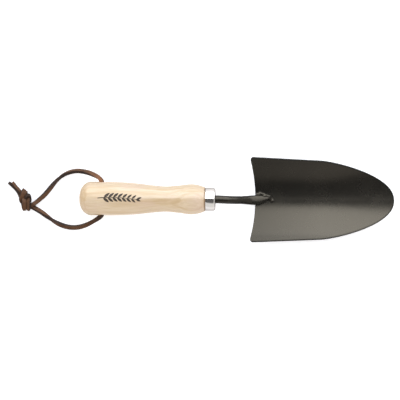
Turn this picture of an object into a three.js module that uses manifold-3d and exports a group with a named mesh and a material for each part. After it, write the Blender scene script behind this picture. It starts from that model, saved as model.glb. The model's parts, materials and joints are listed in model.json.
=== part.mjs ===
// Hand trowel: a pressed steel blade on a cranked steel shank, a ferrule, a turned wooden handle
// and a leather lace tied through the butt.
//
// Units are millimetres and +Z is up. The trowel lies on the plane Z = 0 on its blade's keel and
// on the handle near its butt, with +X from the butt to the blade's tip and its middle at X = 0.

import * as THREE from 'three';
import { LoftGeometry } from 'three/addons/geometries/LoftGeometry.js';
import { mergeVertices } from 'three/addons/utils/BufferGeometryUtils.js';
import Module from 'manifold-3d';

const manifold = await Module();
manifold.setup();

// ---- driving dimensions ----

const LENGTH = 320;             // butt to blade tip
const GAP = 0.3;                // clearance kept between touching pieces

// blade
const SHEET = 1.6;              // sheet thickness
const BLADE_RADIUS = 55;        // radius of the trough, across the blade
const TIP_RADIUS = 85;          // the same at the tip, where the trough opens out
const KEEL = 3;                 // width of the flat along the bottom
const REAR_WIDTH = 85.7;
const SHOULDER_WIDTH = 79.3;    // where the nose begins
const NOSE_LENGTH = 76.2;
const NOSE_POWER = 1.35;        // with a roundness of 0.5, 2 is an ellipse and less is more pointed
const NOSE_ROUNDNESS = 0.46;    // less is blunter at the very tip
const REAR_CORNER_X = 13;
const REAR_HOLLOW = 5.5;        // how far the rear edge curves in at the middle
const REAR_CORNER_ROUND = 2.8;

// handle, along its own axis from the butt
const HANDLE_TILT = THREE.MathUtils.degToRad(3.2);
const HANDLE_LENGTH = 127.4;    // visible wood, butt to ferrule
const BUTT_AXIS_HEIGHT = 16.3;
const BUTT_FLAT_RADIUS = 2;
const BUTT_ROUND_LENGTH = 12;
const BELLY_RADIUS = 17.1;
const WAIST_RADIUS = 12.8;
const BULB_RADIUS = 15.25;
const HOLE_FROM_BUTT = 23.4;
const HOLE_RADIUS = 3;
const HOLE_MOUTH_RADIUS = 4.6;
const TENON_RADIUS = 10.3;

// ferrule
const FERRULE_RADIUS = 11.5;
const FERRULE_LENGTH = 10.3;
const FERRULE_WALL = 0.8;
const FERRULE_ROUND = 2;

// shank
const ROD_RADIUS = 3.95;
const TANG_LENGTH = 72;         // depth of the rod inside the wood
const PADDLE_HALF_WIDTH = 5;
const PADDLE_HALF_HEIGHT = 2.3;
const PADDLE_CUT_X = 18;        // where the slanting cut across the flattened end begins
const PADDLE_TIP_X = 32.6;
const PADDLE_TIP_SIDE = 1.9;    // the tip is to the left of the middle
const BEAD_RADIUS = 1.25;

// leather lace
const LACE_RADIUS = 1.75;
const TAIL_RADIUS = 1.3;        // the cut ends are drawn thinner by the knot
const KNOT_CENTRE = new THREE.Vector3(-215.2, -1.8, 5);
const KNOT_HALF_SIZE = new THREE.Vector3(6, 11, 5);

const TIP_X = LENGTH / 2;
const BUTT_X = -LENGTH / 2 + 0.14;
const SHOULDER_X = TIP_X - NOSE_LENGTH;

// ---- finishes ----

const finish = (color, roughness, metalness) =>
  new THREE.MeshStandardMaterial({ color, roughness, metalness });
const BLACK_PAINT = finish(0x2b2a28, 0.45, 0.1);
const CHROME = finish(0xd9d9d6, 0.08, 1);
const PALE_WOOD = finish(0xe6c9a0, 0.35, 0);
const BROWN_LEATHER = finish(0x5b3726, 0.7, 0);

// ---- helpers ----

function pieceOf(name, geometry, material) {
  const mesh = new THREE.Mesh(geometry, material);
  mesh.name = name;
  return mesh;
}

function solidOf(geometry) {
  const merged = geometry.clone();
  merged.deleteAttribute('normal');
  merged.deleteAttribute('uv');
  const joined = mergeVertices(merged, 1e-4);
  return new manifold.Manifold(new manifold.Mesh({
    numProp: 3,
    vertProperties: new Float32Array(joined.attributes.position.array),
    triVerts: new Uint32Array(joined.index.array),
  }));
}

function geometryOf(solid) {
  const mesh = solid.getMesh();
  const geometry = new THREE.BufferGeometry();
  geometry.setAttribute('position', new THREE.BufferAttribute(new Float32Array(mesh.vertProperties), 3));
  geometry.setIndex(new THREE.BufferAttribute(new Uint32Array(mesh.triVerts), 1));
  geometry.computeVertexNormals();
  return geometry;
}

// A turned shape about the X axis, from [distance along X, radius] pairs, with a flat facing down.
function turned(profile, sides) {
  const points = profile.map(([along, radius]) => new THREE.Vector2(radius, along));
  const geometry = new THREE.LatheGeometry(points, sides, Math.PI / sides);
  return geometry.rotateZ(-Math.PI / 2);
}

// ---- blade ----

function bladeHalfWidth(x) {
  if (x <= SHOULDER_X) {
    const along = (x - REAR_CORNER_X) / (SHOULDER_X - REAR_CORNER_X);
    const side = THREE.MathUtils.lerp(REAR_WIDTH, SHOULDER_WIDTH, along) / 2;
    const fromCorner = Math.min((x - REAR_CORNER_X) / REAR_CORNER_ROUND, 1);
    return side - REAR_CORNER_ROUND * (1 - Math.sqrt(1 - (1 - fromCorner) ** 2));
  }
  const along = (x - SHOULDER_X) / NOSE_LENGTH;
  return (SHOULDER_WIDTH / 2) * (1 - along ** NOSE_POWER) ** NOSE_ROUNDNESS;
}

function troughRadius(x) {
  return THREE.MathUtils.lerp(BLADE_RADIUS, TIP_RADIUS, THREE.MathUtils.smoothstep(x, SHOULDER_X, TIP_X));
}

// One cross-section of the sheet: the underside from left to right, then the upper face back.
function bladeSection(x, steps) {
  const half = bladeHalfWidth(x);
  const radius = troughRadius(x);
  const keel = Math.min(KEEL / 2, half * 0.5);
  const sweep = Math.asin((half - keel) / radius);
  const rearShift = (y) => {
    const nearRear = Math.max(0, 1 - (x - REAR_CORNER_X) / (SHOULDER_X - REAR_CORNER_X));
    const toCorner = y / (REAR_WIDTH / 2 - REAR_CORNER_ROUND);
    return REAR_HOLLOW * nearRear * Math.max(0, 1 - toCorner ** 2);
  };
  const face = (offset) => Array.from({ length: steps }, (_, i) => {
    const across = (2 * i) / (steps - 1) - 1;
    const angle = Math.sign(across) * sweep * Math.max(0, (Math.abs(across) * steps - 1) / (steps - 1));
    const y = Math.sign(across) * keel + (radius - offset) * Math.sin(angle);
    return new THREE.Vector3(x + rearShift(y), y, radius - (radius - offset) * Math.cos(angle));
  });
  return [...face(0), ...face(SHEET).reverse()];
}

function bladeGeometry() {
  const corner = [0, 0.3, 1].map((part) => REAR_CORNER_X + REAR_CORNER_ROUND * part);
  const body = Array.from({ length: 9 }, (_, i) =>
    THREE.MathUtils.lerp(REAR_CORNER_X + REAR_CORNER_ROUND, SHOULDER_X, (i + 1) / 9));
  const nose = Array.from({ length: 16 }, (_, i) =>
    SHOULDER_X + NOSE_LENGTH * Math.sin(((i + 1) / 16) * Math.PI / 2 * 0.957));
  const stations = [...corner, ...body, ...nose];
  return new LoftGeometry(stations.map((x) => bladeSection(x, 20)), { capStart: true, capEnd: true });
}

// ---- handle, drawn along +X from the butt ----

function handleOutline() {
  const butt = Array.from({ length: 9 }, (_, i) => {
    const angle = (Math.PI / 2) * (i / 8);
    return [
      BUTT_ROUND_LENGTH * (1 - Math.cos(angle)),
      THREE.MathUtils.lerp(BUTT_FLAT_RADIUS, BELLY_RADIUS, Math.sin(angle)),
    ];
  });
  const swell = new THREE.SplineCurve([
    new THREE.Vector2(BUTT_ROUND_LENGTH, BELLY_RADIUS),
    new THREE.Vector2(20, BELLY_RADIUS - 0.1),
    new THREE.Vector2(38, BELLY_RADIUS - 0.25),
    new THREE.Vector2(56, 15.9),
    new THREE.Vector2(72, 14.1),
    new THREE.Vector2(87.5, WAIST_RADIUS),
    new THREE.Vector2(100, 13.8),
    new THREE.Vector2(113.5, BULB_RADIUS),
    new THREE.Vector2(121, 14.3),
    new THREE.Vector2(HANDLE_LENGTH, 12.1),
  ]);
  const body = swell.getPoints(27).slice(1).map((point) => [point.x, point.y]);
  return [[0, 0], ...butt, ...body];
}

// The lace hole's cutter: a rod across the handle that flares where it leaves the wood.
function laceHole() {
  const flare = [0, 0.5, 0.8, 1].map((part) => [
    THREE.MathUtils.lerp(BELLY_RADIUS - 3, BELLY_RADIUS, part),
    THREE.MathUtils.lerp(HOLE_RADIUS, HOLE_MOUTH_RADIUS, part ** 2),
  ]);
  const half = [...flare, [BELLY_RADIUS + 4, HOLE_MOUTH_RADIUS]];
  const mirrored = half.map(([across, radius]) => [-across, radius]).reverse();
  const ends = [[-BELLY_RADIUS - 4, 0], [BELLY_RADIUS + 4, 0]];
  const rod = turned([ends[0], ...mirrored, ...half, ends[1]], 16);
  return solidOf(rod.rotateZ(Math.PI / 2).translate(HOLE_FROM_BUTT, 0, 0));
}

function handleGeometry() {
  const boreRadius = ROD_RADIUS + GAP;
  const tenonEnd = HANDLE_LENGTH + FERRULE_LENGTH - FERRULE_WALL - 2 * GAP;
  const boreBottom = HANDLE_LENGTH - TANG_LENGTH - GAP;
  const wood = solidOf(turned([
    ...handleOutline(),
    [HANDLE_LENGTH, TENON_RADIUS],
    [tenonEnd - 1, TENON_RADIUS],
    [tenonEnd, TENON_RADIUS - 1],
    [tenonEnd, boreRadius],
    [boreBottom, boreRadius],
    [boreBottom - 2, 0],
  ], 32));
  return geometryOf(wood.subtract(laceHole()));
}

// ---- ferrule: a cup over the handle's tenon, closed in front but for the rod's hole ----

function ferruleGeometry() {
  const rear = HANDLE_LENGTH + GAP;
  const front = HANDLE_LENGTH + FERRULE_LENGTH;
  const inner = FERRULE_RADIUS - FERRULE_WALL;
  const hole = ROD_RADIUS + GAP;
  const round = Array.from({ length: 6 }, (_, i) => {
    const angle = (Math.PI / 2) * (i / 5);
    return [
      front - FERRULE_ROUND * (1 - Math.sin(angle)),
      FERRULE_RADIUS - FERRULE_ROUND * (1 - Math.cos(angle)),
    ];
  });
  return turned([
    [rear, inner],
    [rear, FERRULE_RADIUS],
    ...round,
    [front, hole],
    [front - FERRULE_WALL, hole],
    [front - FERRULE_WALL, inner - 1],
    [front - FERRULE_WALL - 1, inner],
    [rear, inner],
  ], 32);
}

// ---- shank: tang, crank and flattened end in one rod ----

function onHandleAxis(along) {
  return new THREE.Vector3(
    BUTT_X + along * Math.cos(HANDLE_TILT), 0, BUTT_AXIS_HEIGHT + along * Math.sin(HANDLE_TILT));
}

function shankCentreline() {
  const ferruleFront = HANDLE_LENGTH + FERRULE_LENGTH;
  const floor = SHEET + GAP;
  return new THREE.CatmullRomCurve3([
    onHandleAxis(HANDLE_LENGTH - TANG_LENGTH),
    onHandleAxis(HANDLE_LENGTH - TANG_LENGTH / 2),
    onHandleAxis(HANDLE_LENGTH),
    onHandleAxis(ferruleFront + 3),
    new THREE.Vector3(-12.5, 0, 22.6),
    new THREE.Vector3(-3, 0, 17.0),
    new THREE.Vector3(6, 0, 10.4),
    new THREE.Vector3(14, 0, floor + 4.4),
    new THREE.Vector3(22, 0, floor + PADDLE_HALF_HEIGHT + 0.35),
    new THREE.Vector3(PADDLE_TIP_X, 0, floor + PADDLE_HALF_HEIGHT - 0.4),
  ], false, 'centripetal');
}

function shankGeometry() {
  const centreline = shankCentreline();
  const steps = 36;
  const sides = 14;
  const sections = Array.from({ length: steps + 1 }, (_, i) => {
    const centre = centreline.getPointAt(i / steps);
    const ahead = centreline.getTangentAt(i / steps);
    const up = new THREE.Vector3(-ahead.z, 0, ahead.x);
    const flattened = THREE.MathUtils.smoothstep(centre.x, 2, 20);
    const cut = THREE.MathUtils.clamp((centre.x - PADDLE_CUT_X) / (PADDLE_TIP_X - PADDLE_CUT_X), 0, 0.97);
    const taper = (1 - cut ** 2) ** 0.75;
    const halfWidth = THREE.MathUtils.lerp(ROD_RADIUS, PADDLE_HALF_WIDTH, flattened) * taper;
    const thinner = 1 - 0.25 * cut ** 2;
    const halfHeight = THREE.MathUtils.lerp(ROD_RADIUS, PADDLE_HALF_HEIGHT, flattened) * thinner;
    const side = PADDLE_TIP_SIDE * cut ** 1.5;
    return Array.from({ length: sides }, (_, j) => {
      const angle = (2 * Math.PI * j) / sides;
      const across = new THREE.Vector3(0, side + halfWidth * Math.cos(angle), 0);
      return centre.clone().add(across).addScaledVector(up, halfHeight * Math.sin(angle));
    });
  });
  return new LoftGeometry(sections, { capStart: true, capEnd: true });
}

// ---- weld bead: runs along the left side of the flattened end and round its tip ----

function weldGeometry() {
  const route = new THREE.CatmullRomCurve3([
    new THREE.Vector3(20.0, 6.9, 3.7),
    new THREE.Vector3(24.0, 7.1, 3.7),
    new THREE.Vector3(27.6, 6.4, 3.7),
    new THREE.Vector3(30.8, 5.2, 3.6),
    new THREE.Vector3(33.9, 3.5, 3.5),
    new THREE.Vector3(35.7, 1.0, 3.4),
    new THREE.Vector3(35.9, -1.4, 3.4),
  ]);
  const steps = 30;
  const sides = 8;
  const sections = Array.from({ length: steps + 1 }, (_, i) => {
    const centre = route.getPointAt(i / steps);
    const ahead = route.getTangentAt(i / steps);
    const outward = new THREE.Vector3(-ahead.y, ahead.x, 0).normalize();
    const ripple = 1 + 0.08 * Math.sin(i * 1.9);
    return Array.from({ length: sides }, (_, j) => {
      const angle = (2 * Math.PI * j) / sides;
      const rise = new THREE.Vector3(0, 0, BEAD_RADIUS * ripple * Math.sin(angle));
      return centre.clone().addScaledVector(outward, BEAD_RADIUS * ripple * Math.cos(angle)).add(rise);
    });
  });
  return new LoftGeometry(sections, { capStart: true, capEnd: true });
}

// ---- leather lace ----

const UPPER_ROUTE = [
  [-137.0, 0.2, 17.6], [-137.0, 6.0, 17.6], [-136.9, 11.0, 17.6], [-136.9, 14.6, 17.6],
  [-137.7, 17.8, 17.4], [-140.1, 20.9, 16.5], [-144.4, 23.4, 14.4], [-150.5, 25.8, 10.9],
  [-157.0, 27.3, 7.2], [-163.6, 27.8, 4.4], [-170.0, 26.7, 2.8], [-176.5, 23.9, 2.3],
  [-182.8, 19.0, 2.2], [-187.4, 14.0, 2.2], [-192.1, 8.1, 2.2], [-196.8, 2.6, 2.6],
  [-200.9, -1.1, 3.4], [-204.5, -4.3, 4.7], [-208.0, -6.9, 5.8],
];

const LOWER_ROUTE = [
  [-137.0, -0.2, 17.6], [-137.0, -6.0, 17.6], [-136.9, -11.0, 17.6], [-136.9, -14.6, 17.6],
  [-137.9, -17.5, 17.4], [-141.4, -20.5, 16.3], [-147.6, -24.2, 13.4], [-154.2, -27.3, 9.3],
  [-160.9, -29.2, 5.6], [-167.4, -29.7, 3.3], [-174.0, -28.8, 2.4], [-180.5, -26.6, 2.2],
  [-186.9, -23.2, 2.2], [-193.5, -18.6, 2.2], [-199.6, -14.2, 2.2], [-204.6, -11.3, 2.1],
  [-208.9, -8.9, 2.1],
];

const FIRST_TAIL_ROUTE = [
  [-220.7, 8.0, 3.2], [-223.4, 10.7, 2.6], [-226.1, 13.4, 2.2], [-228.8, 16.1, 2.2],
];

const SECOND_TAIL_ROUTE = [
  [-221.9, 4.7, 3.2], [-225.6, 8.2, 2.6], [-229.3, 11.7, 2.2], [-233.0, 15.2, 2.2],
];

function laceGeometry(route, steps, radius) {
  const sides = 8;
  const outline = Array.from({ length: sides }, (_, i) => {
    const angle = (2 * Math.PI * (i + 0.5)) / sides;
    return new THREE.Vector2(radius * Math.cos(angle), radius * Math.sin(angle));
  });
  const points = route.map(([x, y, z]) => new THREE.Vector3(x, y, z));
  return new THREE.ExtrudeGeometry(new THREE.Shape(outline), {
    steps,
    extrudePath: new THREE.CatmullRomCurve3(points, false, 'centripetal'),
  });
}

function knotGeometry() {
  const size = KNOT_HALF_SIZE;
  return new THREE.SphereGeometry(1, 16, 10).rotateX(Math.PI / 2).scale(size.x, size.y, size.z);
}

// ---- assembly ----

const trowel = new THREE.Group();

const head = new THREE.Group();
head.add(pieceOf('blade', bladeGeometry(), BLACK_PAINT));
head.add(pieceOf('shank', shankGeometry(), BLACK_PAINT));
head.add(pieceOf('weld_bead', weldGeometry(), BLACK_PAINT));
trowel.add(head);

const grip = new THREE.Group();
grip.position.set(BUTT_X, 0, BUTT_AXIS_HEIGHT);
grip.rotation.y = -HANDLE_TILT;
grip.add(pieceOf('handle', handleGeometry(), PALE_WOOD));
grip.add(pieceOf('ferrule', ferruleGeometry(), CHROME));
trowel.add(grip);

const lace = new THREE.Group();
lace.add(pieceOf('lace_upper_strand', laceGeometry(UPPER_ROUTE, 30, LACE_RADIUS), BROWN_LEATHER));
lace.add(pieceOf('lace_lower_strand', laceGeometry(LOWER_ROUTE, 30, LACE_RADIUS), BROWN_LEATHER));
lace.add(pieceOf('lace_first_tail', laceGeometry(FIRST_TAIL_ROUTE, 5, TAIL_RADIUS), BROWN_LEATHER));
lace.add(pieceOf('lace_second_tail', laceGeometry(SECOND_TAIL_ROUTE, 5, TAIL_RADIUS), BROWN_LEATHER));
const knot = pieceOf('lace_knot', knotGeometry(), BROWN_LEATHER);
knot.position.copy(KNOT_CENTRE);
lace.add(knot);
trowel.add(lace);

export default trowel;
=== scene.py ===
"""Looks for the hand trowel: fine meshes, materials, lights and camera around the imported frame.

Everything is in metres in the frame's own axes: +X from the butt to the blade's tip, +Z up.
Lengths named below in millimetres are turned into metres by the factor MM.
"""

import json
import math
import random

import bpy
import bmesh
from mathutils import Matrix, Vector


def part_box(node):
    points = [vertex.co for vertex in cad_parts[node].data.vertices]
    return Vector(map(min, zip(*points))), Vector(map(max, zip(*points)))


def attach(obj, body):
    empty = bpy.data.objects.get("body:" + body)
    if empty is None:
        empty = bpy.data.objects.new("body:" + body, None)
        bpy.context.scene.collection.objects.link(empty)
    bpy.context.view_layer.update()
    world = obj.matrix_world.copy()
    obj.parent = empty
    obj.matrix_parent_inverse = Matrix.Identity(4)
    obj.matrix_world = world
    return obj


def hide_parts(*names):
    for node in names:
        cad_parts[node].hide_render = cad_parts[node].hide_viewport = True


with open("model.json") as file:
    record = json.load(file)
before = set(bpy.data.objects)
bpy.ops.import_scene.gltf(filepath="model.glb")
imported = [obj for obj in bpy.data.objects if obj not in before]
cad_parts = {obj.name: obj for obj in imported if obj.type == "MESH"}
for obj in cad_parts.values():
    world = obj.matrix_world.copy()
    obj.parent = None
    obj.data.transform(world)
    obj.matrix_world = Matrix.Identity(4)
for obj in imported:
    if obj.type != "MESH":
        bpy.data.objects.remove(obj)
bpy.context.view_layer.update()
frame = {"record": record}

MM = 0.001

# ---- the frame's own places ----

MOUNTS = {mount["name"]: mount for mount in frame["record"]["mounts"]}
BUTT = Vector(MOUNTS["butt_end"]["pos_m"])
GRIP_AXIS = -Vector(MOUNTS["butt_end"]["axis"]).normalized()
GRIP_UP = Vector((-GRIP_AXIS.z, 0, GRIP_AXIS.x))
SIDE = Vector((0, 1, 0))
BLADE_LOW, BLADE_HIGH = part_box("blade")

# ---- sizes, in millimetres ----

SHEET = 1.6                     # the blade's thickness
BLADE_RADIUS = 55               # of the trough, across the blade
TIP_RADIUS = 85                 # the same at the tip, where the trough opens out
STEEPEST = math.radians(41)     # the sides run on straight from where they are this steep
KEEL = 3                        # width of the flat along the bottom
REAR_WIDTH = 85.7
SHOULDER_WIDTH = 79.3           # where the nose begins
NOSE_LENGTH = 76.2
NOSE_POWER = 1.35
NOSE_ROUNDNESS = 0.46
REAR_HOLLOW = 5.5               # how far the rear edge curves in at the middle
REAR_CORNER_ROUND = 2.8
BLADE_REAR = BLADE_LOW.x / MM
BLADE_TIP = BLADE_HIGH.x / MM + 0.05
SHOULDER = BLADE_TIP - NOSE_LENGTH

HANDLE_LENGTH = 127.4           # from the butt to the ferrule
BUTT_FLAT_RADIUS = 2.0
BUTT_ROUND = 12.0               # how far the rounding of the butt reaches along the handle
BELLY_RADIUS = 17.1
TENON_RADIUS = 10.3
TENON_LENGTH = 6                # as much of it as is drawn inside the ferrule
FERRULE_LENGTH = 10.3
FERRULE_RADIUS = 11.5
HOLE_FROM_BUTT = 23.4
HOLE_RADIUS = 3.0
HOLE_MOUTH_RADIUS = 4.5
ROD_RADIUS = 4.1

LACE_WIDTH = 4.2
LACE_THICKNESS = 3.4

# pairs of places along a strip, for what shows nowhere on it
PAST_END = (2.0, 2.0)
BEFORE_START = (-2.0, -1.0)


# ---- mesh helpers ----

def link(obj):
    bpy.context.scene.collection.objects.link(obj)
    return obj


def mesh_piece(name, points, faces, smooth=True):
    mesh = bpy.data.meshes.new(name)
    mesh.from_pydata([tuple(point) for point in points], [], faces)
    mesh.validate()
    work = bmesh.new()
    work.from_mesh(mesh)
    bmesh.ops.remove_doubles(work, verts=work.verts, dist=1e-7)
    bmesh.ops.recalc_face_normals(work, faces=work.faces)
    work.to_mesh(mesh)
    work.free()
    for polygon in mesh.polygons:
        polygon.use_smooth = smooth
    return link(bpy.data.objects.new(name, mesh))


def shade_smooth(obj):
    for polygon in obj.data.polygons:
        polygon.use_smooth = True


def circle_angles(count):
    return [2 * math.pi * i / count for i in range(count)]


def loft(name, rings, closed=False):
    """A skin over rings of points. The ends are capped, unless closed joins the last ring to the first."""
    count = len(rings[0])
    points = [point for ring in rings for point in ring]
    rows = len(rings) if closed else len(rings) - 1
    faces = []
    for i in range(rows):
        here, there = i * count, ((i + 1) % len(rings)) * count
        for j in range(count):
            k = (j + 1) % count
            faces.append((here + j, here + k, there + k, there + j))
    if not closed:
        faces.append(tuple(range(count)))
        faces.append(tuple(reversed(range((len(rings) - 1) * count, len(rings) * count))))
    return mesh_piece(name, points, faces)


def spline(points, spacing):
    """Points every spacing along a centripetal Catmull-Rom curve through the given points."""
    points = [Vector(point) for point in points]
    ends = [2 * points[0] - points[1], *points, 2 * points[-1] - points[-2]]
    fine = []
    for a, b, c, d in zip(ends, ends[1:], ends[2:], ends[3:]):
        ta = 0.0
        tb = ta + (b - a).length ** 0.5
        tc = tb + (c - b).length ** 0.5
        td = tc + (d - c).length ** 0.5
        steps = max(4, int((c - b).length / spacing * 4))
        for i in range(steps):
            t = tb + (tc - tb) * i / steps
            ab = a.lerp(b, (t - ta) / (tb - ta))
            bc = b.lerp(c, (t - tb) / (tc - tb))
            cd = c.lerp(d, (t - tc) / (td - tc))
            first = ab.lerp(bc, (t - ta) / (tc - ta))
            second = bc.lerp(cd, (t - tb) / (td - tb))
            fine.append(first.lerp(second, (t - tb) / (tc - tb)))
    fine.append(points[-1])
    return resample(fine, spacing)


def resample(line, spacing):
    """The same line with points at even steps of about spacing."""
    lengths = [0.0]
    for a, b in zip(line, line[1:]):
        lengths.append(lengths[-1] + (b - a).length)
    count = max(2, round(lengths[-1] / spacing))
    result, index = [], 0
    for i in range(count + 1):
        target = lengths[-1] * i / count
        while index < len(line) - 2 and lengths[index + 1] < target:
            index += 1
        span = lengths[index + 1] - lengths[index]
        part = (target - lengths[index]) / span if span else 0.0
        result.append(line[index].lerp(line[index + 1], min(part, 1.0)))
    return result


def tangents(line):
    last = len(line) - 1
    return [(line[min(i + 1, last)] - line[max(i - 1, 0)]).normalized() for i in range(len(line))]


def smoothstep(value, low, high):
    """Goes softly from 0 at low to 1 at high."""
    part = min(max((value - low) / (high - low), 0.0), 1.0)
    return part * part * (3 - 2 * part)


def mix(a, b, part):
    return a + (b - a) * part


def sharpen(obj, degrees):
    obj.data.set_sharp_from_angle(angle=math.radians(degrees))


def apply_modifiers(obj):
    graph = bpy.context.evaluated_depsgraph_get()
    fresh = bpy.data.meshes.new_from_object(obj.evaluated_get(graph))
    obj.modifiers.clear()
    obj.data = fresh


# ---- material helpers ----

class Nodes:
    """A short way to write a node tree: each call adds one node and returns it."""

    def __init__(self, name):
        self.material = bpy.data.materials.new(name)
        self.material.use_nodes = True
        self.tree = self.material.node_tree
        self.shader = self.tree.nodes["Principled BSDF"]

    def add(self, kind, inputs=None, **settings):
        node = self.tree.nodes.new(kind)
        for key, value in settings.items():
            setattr(node, key, value)
        for key, value in (inputs or {}).items():
            self.set(node, key, value)
        return node

    def set(self, node, key, value):
        socket = node.inputs[key]
        if isinstance(value, bpy.types.NodeSocket):
            self.tree.links.new(value, socket)
        else:
            socket.default_value = value

    def place(self, scale=(1, 1, 1), turn=(0, 0, 0)):
        where = self.add("ShaderNodeTexCoord").outputs["Object"]
        node = self.add("ShaderNodeMapping", {"Vector": where, "Scale": scale, "Rotation": turn})
        return node.outputs["Vector"]

    def noise(self, vector, scale, detail=2.0, roughness=0.5, distortion=0.0):
        node = self.add("ShaderNodeTexNoise", {
            "Vector": vector, "Scale": scale, "Detail": detail,
            "Roughness": roughness, "Distortion": distortion})
        return node.outputs["Fac"]

    def ramp(self, value, stops):
        node = self.add("ShaderNodeValToRGB", {"Fac": value})
        elements = node.color_ramp.elements
        while len(elements) < len(stops):
            elements.new(0.5)
        for element, (position, colour) in zip(elements, stops):
            element.position = position
            element.color = (*colour, 1)
        return node.outputs["Color"]

    def blend(self, factor, a, b):
        """From colour a to colour b; the Mix node's sockets share names, so they go by number."""
        node = self.add("ShaderNodeMix", data_type="RGBA", blend_type="MIX")
        self.set(node, 0, factor)
        self.set(node, 6, a)
        self.set(node, 7, b)
        return node.outputs[2]

    def span(self, value, low, high, to_low=0.0, to_high=1.0):
        node = self.add("ShaderNodeMapRange", {
            "Value": value, "From Min": low, "From Max": high, "To Min": to_low, "To Max": to_high})
        return node.outputs["Result"]

    def maths(self, operation, a, b=0.0):
        node = self.add("ShaderNodeMath", operation=operation)
        self.set(node, 0, a)
        self.set(node, 1, b)
        return node.outputs[0]

    def bump(self, height, strength, distance):
        inputs = {"Height": height, "Strength": strength, "Distance": distance}
        return self.add("ShaderNodeBump", inputs).outputs["Normal"]

    def coordinate(self, vector):
        """The X, Y and Z outputs of a vector."""
        return self.add("ShaderNodeSeparateXYZ", {"Vector": vector}).outputs

    def attribute(self, name):
        return self.add("ShaderNodeAttribute", attribute_name=name).outputs["Fac"]

    def finish(self, **inputs):
        """Sets the shader's sockets, whose names are written with _ for a space."""
        for key, value in inputs.items():
            self.set(self.shader, key.replace("_", " "), value)
        return self.material


def dress(obj, material):
    """Gives a piece its only material."""
    obj.data.materials.clear()
    obj.data.materials.append(material)


# ---- materials ----

def black_paint():
    """Satin powder coat: a faint orange-peel surface over charcoal black."""
    n = Nodes("black_paint")
    place = n.place()
    peel = n.noise(place, 1100, 2, 0.5)
    cloud = n.noise(place, 40, 4, 0.6)
    dust = n.noise(place, 260, 3, 0.65)
    colour = n.ramp(cloud, [(0.3, (0.0058, 0.0057, 0.0050)), (0.7, (0.0088, 0.0085, 0.0072))])
    paled = n.blend(n.span(dust, 0.55, 0.85, 0.0, 0.2), colour, (0.024, 0.022, 0.019, 1))
    gloss = n.span(cloud, 0.3, 0.7, 0.25, 0.29)
    # painted reflection: the paint's reflection is tinted darker towards the socket, so that its highlight
    # fades towards the blade's rear
    towards_tip = n.span(n.coordinate(place)["X"], 0.012, 0.085)
    tint = n.ramp(towards_tip, [(0.0, (0.645, 0.575, 0.470)), (1.0, (1.0, 0.89, 0.73))])
    # painted shade: the paint's reflection is darkened along the blade's outer edge, a dark rim in place of
    # the sheet's shaded edge
    tint = n.blend(n.attribute("rim"), tint, (0.30, 0.27, 0.22, 1))
    return n.finish(
        Base_Color=paled, Roughness=gloss, Normal=n.bump(peel, 0.05, 0.0002),
        Specular_IOR_Level=0.535, Specular_Tint=tint)


def chrome():
    """Bright plate with a little haze and fine scuffs round the cup."""
    n = Nodes("chrome")
    haze = n.noise(n.place(), 420, 3, 0.6)
    scuffs = n.noise(n.place((8, 1, 1)), 160, 4, 0.6)
    return n.finish(
        Base_Color=(0.81, 0.795, 0.775, 1), Specular_Tint=(0.42, 0.40, 0.39, 1), Metallic=1.0,
        Roughness=n.span(haze, 0.3, 0.7, 0.06, 0.11),
        Normal=n.bump(scuffs, 0.02, 0.0001))


HEART_SIDE = 0.011              # metres from the middle to the heart of the log
HEART_HEIGHT = -0.020           # metres
RING_SPACING = 0.0034           # metres
RING_WAVER = 6.0                # radians


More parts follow.
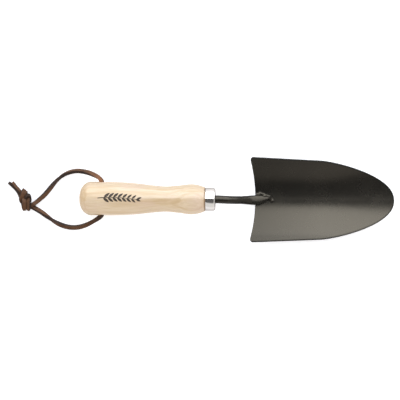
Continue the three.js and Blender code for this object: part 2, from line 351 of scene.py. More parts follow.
def pale_wood():
    """Clear-lacquered pale hardwood: growth rings cut by the turning, and fine fibres along it."""
    n = Nodes("pale_wood")
    place = n.place()
    along_grip = (0, math.atan2(GRIP_AXIS.z, GRIP_AXIS.x), 0)
    broad = n.noise(n.place((0.05, 1, 1), along_grip), 120, 5, 0.62, 1.2)
    fine = n.noise(n.place((0.03, 1, 1), along_grip), 1500, 3, 0.65)
    blotch = n.noise(n.place((0.4, 1, 1), along_grip), 55, 3, 0.55, 0.3)
    colour = n.ramp(broad, [
        (0.34, (0.545, 0.385, 0.210)), (0.45, (0.635, 0.482, 0.30)),
        (0.57, (0.685, 0.545, 0.375)), (0.70, (0.60, 0.445, 0.26))])
    # the heart of the log lay below the handle, so the rings show as long loops on top
    where = n.coordinate(place)
    beside = n.maths("POWER", n.maths("SUBTRACT", where["Y"], HEART_SIDE), 2.0)
    above = n.maths("POWER", n.maths("SUBTRACT", where["Z"], HEART_HEIGHT), 2.0)
    from_heart = n.maths("SQRT", n.maths("ADD", beside, above))
    waver = n.maths("MULTIPLY", n.noise(n.place((0.25, 1, 1)), 45, 3, 0.5), RING_WAVER)
    turns = n.maths("MULTIPLY", from_heart, 2 * math.pi / RING_SPACING)
    rings = n.maths("SINE", n.maths("ADD", turns, waver))
    ringed = n.blend(n.span(rings, 0.2, 1.0, 0.0, 0.34), colour, (0.50, 0.335, 0.17, 1))
    rose = n.blend(n.span(blotch, 0.5, 0.72, 0.0, 0.6), ringed, (0.63, 0.455, 0.365, 1))
    honey = n.blend(n.span(blotch, 0.45, 0.25, 0.0, 0.6), rose, (0.60, 0.415, 0.22, 1))
    fibre = n.blend(n.span(fine, 0.35, 0.6, 0.30, 0.0), honey, (0.46, 0.31, 0.18, 1))
    # end grain drinks the lacquer and goes darker; a burnt line marks where the ferrule is seated
    along = n.add("ShaderNodeVectorMath", {0: place, 1: tuple(GRIP_AXIS)}, operation="DOT_PRODUCT")
    from_butt = n.maths("SUBTRACT", along.outputs["Value"], BUTT.dot(GRIP_AXIS))
    ended = n.blend(n.span(from_butt, 0.001, 0.009, 0.55, 0.0), fibre, (0.52, 0.335, 0.145, 1))
    seat = HANDLE_LENGTH * MM
    burnt = n.span(from_butt, seat - 0.0012, seat - 0.0004, 0.0, 0.8)
    seated = n.blend(burnt, ended, (0.25, 0.14, 0.06, 1))
    return n.finish(
        Base_Color=seated, Roughness=0.5, Coat_Weight=1.0, Coat_Roughness=0.16, Coat_IOR=1.38,
        Specular_IOR_Level=0.25, Normal=n.bump(fine, 0.06, 0.0002))


def brown_leather():
    """Dyed lace leather: a red-brown grain side, paler in places, and darker cut edges, whose colour also
    carries painted shade.
    """
    n = Nodes("brown_leather")
    place = n.place()
    grain = n.noise(place, 1800, 4, 0.65)
    patch = n.noise(place, 160, 3, 0.5)
    face = n.ramp(patch, [(0.3, (0.060, 0.026, 0.011)), (0.7, (0.118, 0.054, 0.024))])
    rubbed = n.ramp(patch, [(0.3, (0.20, 0.080, 0.032)), (0.7, (0.30, 0.130, 0.058))])
    cut = n.ramp(patch, [(0.3, (0.018, 0.011, 0.008)), (0.7, (0.040, 0.022, 0.014))])
    paled = n.blend(n.attribute("rubbed"), face, rubbed)
    # the dark cut colour goes on the cut edges, on the dark spans and on the painted shade
    colour = n.blend(n.attribute("cut_edge_and_shade"), paled, cut)
    fleck = n.blend(n.span(grain, 0.58, 0.75, 0.0, 0.4), colour, (0.17, 0.085, 0.040, 1))
    return n.finish(
        Base_Color=fleck, Roughness=0.65, Specular_IOR_Level=0.14, Normal=n.bump(grain, 0.35, 0.0003))


def dark_ink():
    n = Nodes("dark_ink")
    speck = n.noise(n.place(), 2500, 2, 0.6)
    colour = n.ramp(speck, [(0.4, (0.020, 0.013, 0.008)), (0.75, (0.07, 0.045, 0.028))])
    return n.finish(Base_Color=colour, Roughness=0.6, Specular_IOR_Level=0.3)


# ---- camera ----

VIEW_SPAN = 406.3 * MM          # width of what the camera sees, near the blade's floor
VIEW_MIDDLE = Vector((-37.9, -0.75, 8)) * MM
VIEW_ROLL = 0.45                # degrees
LENS = 200                      # millimetres: far away, so that the view is nearly flat
SENSOR = 36


def make_camera():
    """Straight above the trowel, as in the photo."""
    camera = bpy.data.cameras.new("camera")
    camera.lens = LENS
    camera.sensor_width = SENSOR
    obj = link(bpy.data.objects.new("camera", camera))
    obj.location = VIEW_MIDDLE + Vector((0, 0, VIEW_SPAN * LENS / SENSOR))
    obj.rotation_euler = (0, 0, math.radians(VIEW_ROLL))
    camera.clip_end = 20
    bpy.context.scene.camera = obj


# ---- lace: the cords come first ----

# The two strands from the middle of the hole to the knot, in millimetres.
UPPER_ROUTE = [
    (-137.0, 0.2, 17.6), (-137.0, 6.0, 17.6), (-136.9, 11.0, 17.6), (-136.9, 14.6, 17.6),
    (-137.7, 17.8, 17.4), (-140.1, 20.9, 16.5), (-144.4, 23.4, 14.4), (-150.5, 25.8, 10.9),
    (-157.0, 27.3, 7.2), (-163.6, 27.8, 4.4), (-170.0, 26.7, 2.8), (-176.5, 23.9, 2.3),
    (-182.8, 19.0, 2.2), (-187.4, 14.0, 2.2), (-192.1, 8.1, 2.2), (-196.8, 2.6, 2.6),
    (-200.9, -1.1, 3.4), (-204.5, -4.3, 4.7), (-208.0, -6.9, 5.8),
]

LOWER_ROUTE = [
    (-137.0, -0.2, 17.6), (-137.0, -6.0, 17.6), (-136.9, -11.0, 17.6), (-136.9, -14.6, 17.6),
    (-137.9, -17.5, 17.4), (-141.4, -20.5, 16.3), (-147.6, -24.2, 13.4), (-154.2, -27.3, 9.3),
    (-160.9, -29.2, 5.6), (-167.4, -29.7, 3.3), (-174.0, -28.8, 2.4), (-180.5, -26.6, 2.2),
    (-186.9, -23.2, 2.2), (-193.5, -18.6, 2.2), (-199.6, -14.2, 2.2), (-204.6, -11.3, 2.1),
    (-208.9, -8.9, 2.1),
]

LACE_STEP = 0.5                 # millimetres between rings
LACE_CORNER = 0.45              # millimetres, the rounding of the strip's corners
DARK_SPAN_FADE = 0.01               # parts of a strip's length
# how dark the painted shade on a strip is, on the scale of a cut edge's darkness
SHADE_DEPTH = 0.6
LIGHTENED_EDGE = 0.45              # how much of a cut edge's darkness goes where the strip is painted paler


def lace_section(width, thickness, corner):
    """A square-cut strip's outline with softened corners, as (across, over, how much of a cut edge)."""
    points = []
    for sign_x, sign_y, start in ((1, 1, 0), (-1, 1, 90), (-1, -1, 180), (1, -1, 270)):
        centre_x = sign_x * (width / 2 - corner)
        centre_y = sign_y * (thickness / 2 - corner)
        on_edge = (1, 1, 0.4, 0) if sign_x == sign_y else (0, 0.4, 1, 1)
        for i in range(4):
            angle = math.radians(start + 30 * i)
            points.append((
                centre_x + corner * math.cos(angle), centre_y + corner * math.sin(angle), on_edge[i]))
    return points


def lace_rings(line, section, first_side, twist=lambda part: 0.0, taper=lambda part: 1.0):
    """Rings of a strip along line, in millimetres. twist and taper take a part of the length.

    twist gives the degrees that the strip has turned about itself, and taper a factor on its width.
    """
    ahead = tangents(line)
    side = first_side - ahead[0] * first_side.dot(ahead[0])
    rings = []
    for i, (centre, along) in enumerate(zip(line, ahead)):
        part = i / (len(line) - 1)
        side = (side - along * side.dot(along)).normalized()
        across = Matrix.Rotation(math.radians(twist(part)), 3, along) @ side
        over = along.cross(across)
        rings.append([(centre + across * a * taper(part) + over * b) * MM for a, b, _ in section])
    return rings


def strip(name, rings, section, dark_span=PAST_END, rubbed=BEFORE_START, shade=BEFORE_START):
    """A lofted strip with two attributes, set from pairs of places between 0, its start, and 1, its end.

    cut_edge_and_shade is 1 on the cut edges and from one dark_span place to the other, and starts part way up
    where painted shade lies on the strip. lightened starts at 1, where the strip is painted paler. lightened
    and shade fade out from the first of their places to the second.
    """
    obj = loft(name, rings)
    edges = obj.data.attributes.new("cut_edge_and_shade", "FLOAT", "POINT")
    paled = obj.data.attributes.new("rubbed", "FLOAT", "POINT")
    count = len(section)
    for index in range(min(len(rings) * count, len(obj.data.vertices))):
        part = index // count / (len(rings) - 1)
        starts = smoothstep(part, dark_span[0] - DARK_SPAN_FADE, dark_span[0])
        ends = smoothstep(part, dark_span[1], dark_span[1] + DARK_SPAN_FADE)
        # painted shade: darkens the strip from its start up to the shade places
        dark = SHADE_DEPTH * (1 - smoothstep(part, *shade))
        pale = 1 - smoothstep(part, *rubbed)
        on_edge = section[index % count][2] * (1 - LIGHTENED_EDGE * pale)
        edges.data[index].value = max(on_edge, starts * (1 - ends), dark)
        paled.data[index].value = pale
    return obj


def make_strand(name, route, twist, **tones):
    line = spline(route, LACE_STEP)
    section = lace_section(LACE_WIDTH, LACE_THICKNESS, LACE_CORNER)
    obj = strip(name, lace_rings(line, section, Vector((1, 0, 0)), twist), section, **tones)
    dress(obj, LEATHER)
    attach(obj, "lanyard")
    return obj, [point * MM for point in line]


def upper_twist(part):
    """Degrees that the upper strand has turned about itself at a part of its length."""
    early = 25 * smoothstep(part, 0.05, 0.22) * (1 - smoothstep(part, 0.35, 0.55))
    return 110 + 200 * part + early + 20 * smoothstep(part, 0.65, 0.85)


def lower_twist(part):
    return mix(60, -8, smoothstep(part, 0, 0.4)) - 115 * smoothstep(part, 0.58, 0.95)


def make_lace():
    # the upper strand is painted paler near the handle
    upper, upper_path = make_strand("lace_upper", UPPER_ROUTE, upper_twist, rubbed=(0.10, 0.38))
    # painted shade on the lower strand's first part, beside the handle
    lower, lower_path = make_strand("lace_lower", LOWER_ROUTE, lower_twist, shade=(0.20, 0.36))
    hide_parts("lace_upper_strand")
    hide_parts("lace_lower_strand")
    knot = make_knot()
    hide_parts("lace_knot", "lace_first_tail", "lace_second_tail")


# The ways through the knot, in millimetres. The upper strand rises over the knot's top, folds and falls
# to its foot, where both strands fold under and run out as the tails.
RISING_ROUTE = [
    (-205.4, -5.2, 5.0), (-209.6, -7.4, 5.2), (-213.6, -7.4, 3.4), (-217.2, -5.4, 3.8), (-218.9, -1.8, 6.0),
    (-218.0, 2.2, 7.8), (-216.8, 5.4, 8.2), (-216.0, 7.3, 6.8), (-215.8, 5.8, 5.0),
]
FALLING_ROUTE = [
    (-216.6, 5.4, 4.6), (-215.2, 3.4, 5.2), (-213.4, 1.2, 6.2), (-212.2, -1.4, 7.6), (-212.0, -4.0, 8.3),
    (-212.1, -6.6, 8.2), (-212.2, -10.2, 6.6), (-212.4, -12.0, 4.0), (-213.2, -9.6, 2.1), (-215.4, -4.0, 1.7),
    (-218.7, 2.4, 2.0), (-222.1, 7.0, 3.1), (-225.7, 11.0, 3.5), (-229.4, 15.6, 3.4),
]
SECOND_KNOT_ROUTE = [
    (-205.4, -10.7, 2.1), (-209.8, -9.0, 2.0), (-214.0, -8.6, 2.4), (-217.0, -6.4, 3.4), (-217.6, -3.4, 4.6),
    (-217.2, -1.0, 6.0), (-216.8, -1.2, 7.6), (-216.5, -3.4, 8.5), (-216.5, -6.6, 8.2), (-216.6, -10.0, 6.6),
    (-216.5, -11.8, 4.0), (-217.2, -9.2, 2.1), (-218.4, -3.6, 1.7), (-220.6, 2.0, 1.8), (-223.6, 6.7, 2.0),
    (-228.2, 11.5, 2.0), (-232.9, 15.7, 2.0),
]
# painted shade: a short turn beside the fold, dark all over, put where the knot's hollow lies in shade
SHADE_TURN = [
    (-216.0, -3.0, 4.6), (-215.7, -0.8, 6.8), (-214.4, 1.7, 8.6), (-212.3, 2.8, 8.9), (-210.7, 1.6, 8.0),
    (-210.3, -1.0, 6.0), (-210.7, -3.4, 4.0),
]
KNOT_STRAND_WIDTH = 4.5
KNOT_STRAND_THICKNESS = 2.6
SHADE_TURN_WIDTH = 4.3
SHADE_TURN_THICKNESS = 2.2
KNOT_CORNER = 0.6
SECOND_DARK_SPAN = (0.78, 2.0)      # the second tail is dark all over from this part of its length on
# the painted shade turn is dark along all its length
ALL_SHADE_SPAN = (0.0, 2.0)
PRESSED = 0.35                  # how much broader the rising strand is over the knot's top
FOLD_PINCH = 0.28               # how much narrower a strand is where it folds at the knot's foot


def knot_strip(
        route, section, dark_span=PAST_END, pressed=0.0, pinch_length=None, thinning=0.0, tail=(0.0, 1.0)):
    """One strip of the knot. Its width loses the part thinning from one place of tail to the other."""
    line = spline(route, LACE_STEP)
    foot = min(range(len(line)), key=lambda i: line[i].y) / (len(line) - 1)

    def width(part):
        broader = pressed * smoothstep(part, 0.4, 0.6)
        pinched = FOLD_PINCH * math.exp(-((part - foot) / pinch_length) ** 2) if pinch_length else 0.0
        return 1 + broader - pinched - thinning * smoothstep(part, *tail)

    return strip("knot_strip", lace_rings(line, section, SIDE, taper=width), section, dark_span)


def make_knot():
    strand = lace_section(KNOT_STRAND_WIDTH, KNOT_STRAND_THICKNESS, KNOT_CORNER)
    turn = lace_section(SHADE_TURN_WIDTH, SHADE_TURN_THICKNESS, KNOT_CORNER)
    knot = join("lace_knot_and_tails", [
        knot_strip(RISING_ROUTE, strand, pressed=PRESSED),
        knot_strip(FALLING_ROUTE, strand, pinch_length=0.03, thinning=0.06, tail=(0.62, 0.8)),
        knot_strip(
            SECOND_KNOT_ROUTE, strand, SECOND_DARK_SPAN, pinch_length=0.022, thinning=0.3, tail=(0.72, 0.85)),
        # painted shade: the dark turn fills the shaded hollow beside the fold
        knot_strip(SHADE_TURN, turn, ALL_SHADE_SPAN),
    ])
    dress(knot, LEATHER)
    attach(knot, "lanyard")
    return knot


def join(name, objects):
    """One object with all the given meshes, which are used up."""
    work = bmesh.new()
    for obj in objects:
        work.from_mesh(obj.data)
        bpy.data.objects.remove(obj)
    mesh = bpy.data.meshes.new(name)
    work.to_mesh(mesh)
    work.free()
    joined = link(bpy.data.objects.new(name, mesh))
    shade_smooth(joined)
    return joined


# ---- blade ----

ACROSS_STEPS = 44               # from the spine to the outline
CORNER_STEPS = 8
SIDE_STEPS = 55                 # along the straight sides, and again along the nose
SPINE_SHORT = 22                # millimetres: the rows' inner ends stop this far short of the tip
RIM_ROUNDING = 0.75             # millimetres
RIM_DARK = (0.5, 1.7)           # millimetres inside the outline where the painted dark rim, a painted shade along the blade's edge, fades out


def blade_half_width(x):
    """In millimetres from the middle to the outline, without the rear corners' rounding."""
    if x <= SHOULDER:
        along = (x - BLADE_REAR) / (SHOULDER - BLADE_REAR)
        return mix(REAR_WIDTH, SHOULDER_WIDTH, along) / 2
    along = min((x - SHOULDER) / NOSE_LENGTH, 1.0)
    return SHOULDER_WIDTH / 2 * max(0.0, 1 - along ** NOSE_POWER) ** NOSE_ROUNDNESS


def from_outline(x, y):
    """How far a place on the blade lies inside its long edges and nose."""
    slope = (blade_half_width(x + 0.2) - blade_half_width(x - 0.2)) / 0.4
    return (blade_half_width(x) - abs(y)) / math.hypot(1, slope)


def trough_height(x, y, rise):
    """Height of the sheet's underside, or of a face that lies rise above it, square to the sheet."""
    radius = mix(BLADE_RADIUS, TIP_RADIUS, smoothstep(x, SHOULDER, BLADE_TIP))
    bend = radius - rise
    out = max(0.0, abs(y) - KEEL / 2)
    beyond = max(0.0, out - bend * math.sin(STEEPEST))
    return radius - math.sqrt(bend ** 2 - (out - beyond) ** 2) + beyond * math.tan(STEEPEST)


def blade_outline():
    """The left half of the outline, from the rear corner's rounding to the tip."""
    outline = []
    for i in range(CORNER_STEPS):
        angle = math.pi / 2 * i / CORNER_STEPS
        inset = REAR_CORNER_ROUND * (1 - math.sin(angle))
        x = BLADE_REAR + REAR_CORNER_ROUND * (1 - math.cos(angle))
        outline.append((x, blade_half_width(x) - inset))
    for i in range(SIDE_STEPS):
        x = mix(BLADE_REAR + REAR_CORNER_ROUND, SHOULDER, i / SIDE_STEPS)
        outline.append((x, blade_half_width(x)))
    for i in range(SIDE_STEPS + 1):
        left = 1 - i / SIDE_STEPS
        x = SHOULDER + NOSE_LENGTH * (1 - left ** 2)
        outline.append((x, blade_half_width(x)))
    return outline


def blade_grid():
    """The sheet's left half as rows of (x, y) from the spine to the outline."""
    outline = blade_outline()
    rear_half_width = outline[0][1]
    rows = []
    for i, (x, y) in enumerate(outline):
        part = i / (len(outline) - 1)
        spine_x = mix(BLADE_REAR, BLADE_TIP - SPINE_SHORT, part)
        row = []
        for j in range(ACROSS_STEPS + 1):
            v = j / ACROSS_STEPS
            here = y * v
            hollow = REAR_HOLLOW * (1 - part) ** 4 * max(0.0, 1 - (here / rear_half_width) ** 2)
            row.append((mix(spine_x, x, v) + hollow, here))
        rows.append(row)
    return rows


def make_blade():
    """The sheet's middle surface, given its thickness and a rounded rim."""
    rows = blade_grid()
    count = len(rows[0])
    points, faces = [], []
    for mirror in (1, -1):
        start = len(points)
        for row in rows:
            points += [Vector((x, mirror * y, trough_height(x, y, SHEET / 2))) * MM for x, y in row]
        for i in range(len(rows) - 1):
            for j in range(count - 1):
                a = start + i * count + j
                faces.append((a, a + 1, a + count + 1, a + count))
    blade = mesh_piece("blade_skin", points, faces)
    # near points are merged where the rows crowd together at the tip, and every face is turned up, so
    # that solidify works the same everywhere
    work = bmesh.new()
    work.from_mesh(blade.data)
    bmesh.ops.remove_doubles(work, verts=work.verts, dist=0.02 * MM)
    for face in work.faces:
        if face.normal.z < 0:
            face.normal_flip()
    work.to_mesh(blade.data)
    work.free()
    solid = blade.modifiers.new("sheet", "SOLIDIFY")
    solid.thickness = SHEET * MM
    solid.offset = 0
    solid.use_even_offset = True
    rim = blade.modifiers.new("rim", "BEVEL")
    rim.width = RIM_ROUNDING * MM
    rim.segments = 4
    rim.limit_method = "ANGLE"
    rim.angle_limit = math.radians(50)
    apply_modifiers(blade)
    shade_smooth(blade)
    # painted shade: a dark rim along the outline, standing in for the shaded edge of the sheet
    rim_shade = blade.data.attributes.new("rim", "FLOAT", "POINT")
    for vert in blade.data.vertices:
        inside = from_outline(vert.co.x / MM, vert.co.y / MM)
        rim_shade.data[vert.index].value = 1 - smoothstep(inside, *RIM_DARK)
    dress(blade, PAINT)
    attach(blade, "trowel")
    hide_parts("blade")


# ---- handle ----

# the turned profile beyond the butt's rounding: (millimetres from the butt, radius)
HANDLE_STATIONS = [
    (BUTT_ROUND, BELLY_RADIUS), (20, 17.0), (38, 16.85), (56, 15.9), (72, 14.1), (87.5, 12.8),
    (100, 13.8), (113.5, 15.25), (121, 14.3), (HANDLE_LENGTH, 12.1),
]
PROFILE_STEP = 0.8              # millimetres
BUTT_STEPS = 24
HANDLE_SIDES = 144
FLARE_START = 14.0              # millimetres from the middle: where the lace's hole begins to widen
FLARE_LENGTH = 3.2
HOLE_REACH = 22                 # millimetres: the cutter ends outside the wood


def handle_profile_line():
    """The handle's profile from its butt to the ferrule, as points (along, radius, 0)."""
    line = [Vector((0, 0, 0)), Vector((0, BUTT_FLAT_RADIUS * 0.5, 0))]
    for i in range(BUTT_STEPS + 1):
        angle = math.pi / 2 * i / BUTT_STEPS
        radius = mix(BUTT_FLAT_RADIUS, BELLY_RADIUS, math.sin(angle))
        line.append(Vector((BUTT_ROUND * (1 - math.cos(angle)), radius, 0)))
    body = spline([Vector((along, radius, 0)) for along, radius in HANDLE_STATIONS], PROFILE_STEP)
    return line + body[1:]


def on_grip(along, radius, angle):
    """A point on the handle, from its butt in millimetres; the angle is from the side, up."""
    out = SIDE * math.cos(angle) + GRIP_UP * math.sin(angle)
    return BUTT + (GRIP_AXIS * along + out * radius) * MM


def turned(name, profile, sides, closed=False):
    """A piece turned about the handle's axis, from (along, radius) pairs."""
    rings = [[on_grip(along, radius, angle) for angle in circle_angles(sides)] for along, radius in profile]
    return loft(name, rings, closed)


def hole_cutter():
    """What the lace's hole takes away: a straight bore across the handle with flared mouths."""
    flare = []
    for part in (i / 10 for i in range(11)):
        radius = HOLE_RADIUS + (HOLE_MOUTH_RADIUS - HOLE_RADIUS) * part ** 2.2
        flare.append((part * FLARE_LENGTH + FLARE_START, radius))
    half = [(0, HOLE_RADIUS), *flare, (HOLE_REACH, HOLE_MOUTH_RADIUS)]
    rings = []
    for across, radius in [(-a, r) for a, r in reversed(half)] + half[1:]:
        centre = BUTT + (GRIP_AXIS * HOLE_FROM_BUTT + SIDE * across) * MM
        rings.append([
            centre + (GRIP_AXIS * math.cos(angle) + GRIP_UP * math.sin(angle)) * radius * MM
            for angle in circle_angles(40)])
    return loft("hole_cutter", rings)


def make_handle():
    profile = [(point.x, max(point.y, 0.01)) for point in handle_profile_line()]
    shoulder = HANDLE_LENGTH + 0.02
    profile += [(shoulder, 11.2), (shoulder, TENON_RADIUS), (HANDLE_LENGTH + TENON_LENGTH, TENON_RADIUS)]
    handle = turned("handle_wood", profile, HANDLE_SIDES)
    cutter = hole_cutter()
    cut = handle.modifiers.new("hole", "BOOLEAN")
    cut.operation = "DIFFERENCE"
    cut.object = cutter
    cut.solver = "EXACT"
    apply_modifiers(handle)
    bpy.data.objects.remove(cutter)
    shade_smooth(handle)
    sharpen(handle, 40)
    dress(handle, WOOD)
    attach(handle, "trowel")
    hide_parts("handle")


# ---- a plain leafy sprig printed on the handle, in millimetres ----

SPRIG_START = 20                # from the butt
SPRIG_LENGTH = 41
STEM_STEPS = 48
STEM_ROOT = 0.42                # half the stem's width
STEM_END = 0.2
LEAF_PAIRS = 8
LEAF_LENGTH = 7.6
LEAF_WIDTH = 2.9
LEAF_SLICES = 14
LEAF_ANGLE = math.radians(38)   # from the stem
LAST_LEAF_ANGLE = math.radians(20)
LEAF_GAP = 0.5                  # between the stem's middle and the leaf
INK_PROUD = 0.08                # how far the ink stands off the wood
INK_DEPTH = 0.15                # how far it reaches in


def wood_radius(along):
    line = handle_profile_line()
    for a, b in zip(line, line[1:]):
        if a.x <= along <= b.x and b.x > a.x:
            return mix(a.y, b.y, (along - a.x) / (b.x - a.x))
    return line[-1].y


def on_wood(along, across, rise):
    radius = wood_radius(along)
    return on_grip(along, radius + rise, math.pi / 2 - across / radius)


def ink_shape(points, faces, outline):
    """A thin closed plate of ink over a convex outline of (along, across)."""
    start, count = len(points), len(outline)
    for rise in (INK_PROUD, -INK_DEPTH):
        points.extend(on_wood(along, across, rise) for along, across in outline)
    faces.append(tuple(start + i for i in range(count)))
    faces.append(tuple(start + count + i for i in reversed(range(count))))
    for i in range(count):
        k = (i + 1) % count
        faces.append((start + i, start + count + i, start + count + k, start + k))


def leaf(points, faces, root_x, root_y, angle, size):
    """A pointed leaf in short plates, so that it follows the round of the wood."""
    cos, sin = math.cos(angle), math.sin(angle)
    slices = []
    for i in range(LEAF_SLICES + 1):
        part = mix(0.02, 0.98, i / LEAF_SLICES)
        along = LEAF_GAP + LEAF_LENGTH * size * part
        half = LEAF_WIDTH * size / 2 * math.sin(math.pi * part ** 0.85) ** 0.8
        slices.append([
            (root_x + along * cos - v * sin, root_y + along * sin + v * cos) for v in (-half, 0.0, half)])
    for (low, middle, high), (next_low, next_middle, next_high) in zip(slices, slices[1:]):
        ink_shape(points, faces, [low, next_low, next_middle, middle])
        ink_shape(points, faces, [middle, next_middle, next_high, high])


def stem_place(part):
    """A gently bent stem: (along, across) at a part of its length."""
    return SPRIG_START + SPRIG_LENGTH * part, 1.3 * math.sin(3.4 * part + 0.4)


def make_sprig():
    points, faces = [], []
    for i in range(STEM_STEPS):
        x0, y0 = stem_place(i / STEM_STEPS)
        x1, y1 = stem_place((i + 1) / STEM_STEPS)
        half = mix(STEM_ROOT, STEM_END, i / STEM_STEPS)
        ink_shape(points, faces, [(x0, y0 - half), (x1, y1 - half), (x1, y1 + half), (x0, y0 + half)])
    for i in range(LEAF_PAIRS):
        part = 0.14 + 0.8 * i / (LEAF_PAIRS - 1)
        root_x, root_y = stem_place(part)
        angle = LEAF_ANGLE if i < LEAF_PAIRS - 1 else LAST_LEAF_ANGLE
        for side in (1, -1):
            leaf(points, faces, root_x + side * 0.4, root_y, side * angle, 1 - 0.35 * part)
    sprig = mesh_piece("printed_sprig", points, faces, smooth=False)
    dress(sprig, INK)
    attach(sprig, "trowel")


# ---- ferrule ----

FERRULE_CORNER = 2.0            # millimetres
FERRULE_HOLE = ROD_RADIUS + 0.12


def make_ferrule():
    """A cup's section from its open rear, round the outside to the rod's hole and back inside."""
    rear, front = HANDLE_LENGTH + 0.25, HANDLE_LENGTH + FERRULE_LENGTH
    outer, hole = FERRULE_RADIUS, FERRULE_HOLE
    profile = [(rear + 0.5, outer - 0.9), (rear, outer - 0.6), (rear, outer - 0.25), (rear + 0.25, outer)]
    for i in range(11):
        angle = math.pi / 2 * i / 10
        profile.append((
            front - FERRULE_CORNER * (1 - math.sin(angle)), outer - FERRULE_CORNER * (1 - math.cos(angle))))
    profile += [(front, hole + 0.5), (front - 0.15, hole + 0.15), (front - 0.5, hole), (front - 1.2, hole)]
    profile += [(front - 1.2, outer - 2.2), (front - 2.2, outer - 0.9)]
    ferrule = turned("ferrule_cup", profile, 128, closed=True)
    sharpen(ferrule, 50)
    dress(ferrule, CHROME)
    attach(ferrule, "trowel")
    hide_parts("ferrule")


# ---- shank and weld ----

def on_axis(along):
    """A point on the handle's axis, in millimetres."""
    return (BUTT + GRIP_AXIS * along * MM) / MM


# out of the ferrule, down the crank and along the blade's floor
SHANK_ROUTE = [
    on_axis(HANDLE_LENGTH - 10), on_axis(HANDLE_LENGTH), on_axis(HANDLE_LENGTH + FERRULE_LENGTH + 3),
    (-12.5, -0.3, 22.6), (-3, -0.5, 17.0), (6, -0.5, 10.4), (14, -0.5, 6.3), (22, -0.4, 4.55),
    (32.6, -0.2, 3.8),
]
FLATTENING = (2, 20)            # x where the rod begins to flatten and where it is flat
PADDLE_HALF_WIDTH = 5.0
PADDLE_HALF_HEIGHT = 2.3
PADDLE_CUT = 18                 # x where the flattened end begins to narrow
PADDLE_TIP = 32.6
PADDLE_TIP_SIDE = 1.9           # how far the narrowed tip lies to the left
PADDLE_ROLL = 5                 # degrees that the flattened end leans over to the left


def make_shank():
    """Rings go from round to a rounded oblong, and narrow towards the tip of the flattened end."""
    line = spline(SHANK_ROUTE, 0.6)
    rings = []
    for centre, along in zip(line, tangents(line)):
        flat = smoothstep(centre.x, *FLATTENING)
        roll = math.radians(PADDLE_ROLL) * flat
        level = Vector((-along.z, 0, along.x))
        up = level * math.cos(roll) + SIDE * math.sin(roll)
        side = SIDE * math.cos(roll) - level * math.sin(roll)
        cut = min(max((centre.x - PADDLE_CUT) / (PADDLE_TIP - PADDLE_CUT), 0.0), 0.985)
        half_width = mix(ROD_RADIUS, PADDLE_HALF_WIDTH, flat) * (1 - cut ** 2) ** 0.75
        half_height = mix(ROD_RADIUS, PADDLE_HALF_HEIGHT, flat) * (1 - 0.25 * cut ** 2)
        centre = centre + SIDE * (PADDLE_TIP_SIDE * cut ** 1.5)
        power = 2 / mix(2.0, 2.8, flat)
        ring = []
        for angle in circle_angles(40):
            c, s = math.cos(angle), math.sin(angle)
            a = math.copysign(abs(c) ** power, c)
            b = math.copysign(abs(s) ** power, s)
            ring.append((centre + side * (half_width * a) + up * (half_height * b)) * MM)
        rings.append(ring)
    shank = loft("shank_rod", rings)
    sharpen(shank, 60)
    dress(shank, PAINT)
    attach(shank, "trowel")
    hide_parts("shank")


# round the left side and the tip of the shank's flattened end
WELD_ROUTE = [
    (20.6, 5.0, 3.6), (22.6, 5.9, 3.7), (25.6, 5.7, 3.6), (28.4, 4.1, 3.5), (31.4, 3.3, 3.3),
    (34.0, 1.6, 3.0), (35.6, -0.6, 2.4),
]
LUMP_SPACING = 1.3              # millimetres
LUMP_RADIUS = 2.05              # millimetres, about that of the smallest lump


def make_weld():
    """A run of overlapping lumps, melted together by a remesh."""
    rng = random.Random(5)
    lumps = []
    for centre in spline(WELD_ROUTE, LUMP_SPACING):
        size = LUMP_RADIUS + 0.5 * rng.random() - 0.3 * smoothstep(centre.x, 31, 36)
        work = bmesh.new()
        bmesh.ops.create_icosphere(work, subdivisions=3, radius=1.0)
        jitter = Vector((rng.uniform(-0.5, 0.5), rng.uniform(-0.5, 0.5), rng.uniform(-0.3, 0.3)))
        for vert in work.verts:
            vert.co = (centre + jitter + vert.co * size) * MM
        mesh = bpy.data.meshes.new("lump")
        work.to_mesh(mesh)
        work.free()
        lumps.append(link(bpy.data.objects.new("lump", mesh)))
    weld = join("weld_run", lumps)
    remesh = weld.modifiers.new("melt", "REMESH")
    remesh.mode = "VOXEL"
    remesh.voxel_size = 0.25 * MM
    smooth = weld.modifiers.new("flow", "SMOOTH")
    smooth.factor = 0.5
    smooth.iterations = 3
    apply_modifiers(weld)
    shade_smooth(weld)
    dress(weld, PAINT)
    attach(weld, "trowel")
    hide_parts("weld_bead")


# ---- stage, in metres ----

FLOOR_HALF = 6
FLOOR_DROP = 0.0003             # keeps the floor clear of what lies on it
PALE_CARD_DROP = 0.0002
LIGHTS_X = 0.05
CARD_WIDTH = 2.6
CARD_HEIGHT = 1.0
PANEL_START = 0.16              # how far towards +Y the dark card ends and the far panel begins
PANEL_FOOT = (1.12, 0.10)       # Y and height of the far panel's lower edge
CARD_START = -0.95
CARD_SHADE = (0.70, 1.0)        # the card stays dark up to the first part of its depth
PALE = (0.92, 0.89, 0.89)


def panel(name, centre, facing, size_x, size_y, radiance, colour, seen_by):
    """A soft light as a glowing rectangle, for diffuse or for glossy surfaces alone."""
    light = bpy.data.lights.new(name, "AREA")
    light.shape = "RECTANGLE"
    light.size = size_x
    light.size_y = size_y
    light.energy = radiance * math.pi * size_x * size_y
    light.color = colour
    obj = link(bpy.data.objects.new(name, light))
    obj.location = centre
    obj.rotation_euler = (Vector(facing) - Vector(centre)).to_track_quat("-Z", "Y").to_euler()
    obj.visible_camera = False
    obj.visible_diffuse = seen_by == "diffuse"
    obj.visible_glossy = seen_by == "glossy"


def level_rectangle(name, size_x, size_y, centre):
    a, b = size_x / 2, size_y / 2
    obj = mesh_piece(name, [(-a, -b, 0), (a, -b, 0), (a, b, 0), (-a, b, 0)], [(0, 1, 2, 3)])
    obj.location = centre
    return obj


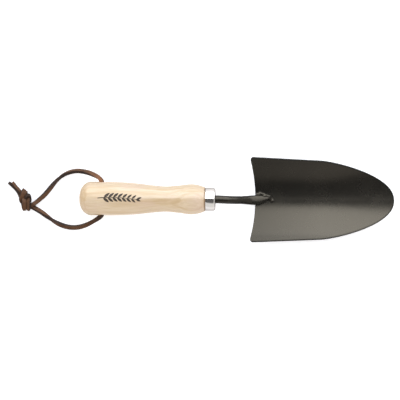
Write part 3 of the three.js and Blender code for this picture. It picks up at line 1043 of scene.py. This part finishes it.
def reflection_card(name, centre, size_x, size_y, first_glow, last_glow, shade_span=(0.0, 1.0)):
    """A card that only shows in reflections. Its light goes from first_glow to last_glow towards -Y."""
    card = level_rectangle(name, size_x, size_y, centre)
    n = Nodes(name)
    start, end = (size_y / 2 - part * size_y for part in shade_span)
    part = n.span(n.coordinate(n.place())["Y"], start, end)
    card.data.materials.append(n.finish(
        Base_Color=(0.05, 0.05, 0.05, 1), Roughness=1.0, Emission_Strength=1.0,
        Emission_Color=n.blend(part, (*first_glow, 1), (*last_glow, 1))))
    for way in ("camera", "diffuse", "shadow", "transmission"):
        setattr(card, "visible_" + way, False)


def make_floor():
    floor = level_rectangle("floor", 2 * FLOOR_HALF, 2 * FLOOR_HALF, (0, 0, -FLOOR_DROP))
    n = Nodes("floor")
    speckle = n.noise(n.place(), 60, 2)
    colour = n.ramp(speckle, [(0.3, (0.88, 0.88, 0.88)), (0.7, (0.90, 0.90, 0.90))])
    floor.data.materials.append(n.finish(
        Base_Color=colour, Roughness=0.9, Emission_Color=(1, 1, 1, 1), Emission_Strength=0.42))
    floor.visible_glossy = False


def make_world():
    world = bpy.data.worlds.new("world")
    world.use_nodes = True
    background = world.node_tree.nodes["Background"]
    background.inputs["Color"].default_value = (1.0, 0.975, 0.95, 1)
    background.inputs["Strength"].default_value = 0.85
    bpy.context.scene.world = world


def make_stage():
    """A lit white floor in a bright room, and what the paint, the chrome and the lacquer reflect.

    That is a bright panel beyond the +Y side, which leans from beside the camera down to the floor, a
    dark card over the rest, which brightens towards its -Y edge, and a pale card in place of the floor.
    """
    make_floor()
    make_world()
    top, foot = Vector((LIGHTS_X, PANEL_START, CARD_HEIGHT)), Vector((LIGHTS_X, *PANEL_FOOT))
    middle = (top + foot) / 2
    facing = middle - Vector((0, (top - foot).z, (foot - top).y))
    panel("far_panel", middle, facing, CARD_WIDTH, (foot - top).length, 4.35, (0.94, 0.985, 1.02), "glossy")
    panel("overhead", (0.0, 0.75, 1.45), (0, 0, 0), 2.6, 2.6, 1.00, (0.88, 1.0, 1.20), "diffuse")
    reflection_card(
        "dark_card", (0.0, (CARD_START + PANEL_START) / 2, CARD_HEIGHT),
        CARD_WIDTH, PANEL_START - CARD_START, (0.035, 0.030, 0.026), (0.55, 0.535, 0.515), CARD_SHADE)
    reflection_card("pale_card", (0, 0, -PALE_CARD_DROP), 2 * FLOOR_HALF, 2 * FLOOR_HALF, PALE, PALE)


# ---- build ----

scene = bpy.context.scene
scene.view_settings.view_transform = "Standard"

make_camera()
PAINT = black_paint()
CHROME = chrome()
WOOD = pale_wood()
LEATHER = brown_leather()
INK = dark_ink()
make_lace()
make_blade()
make_handle()
make_sprig()
make_ferrule()
make_shank()
make_weld()
make_stage()
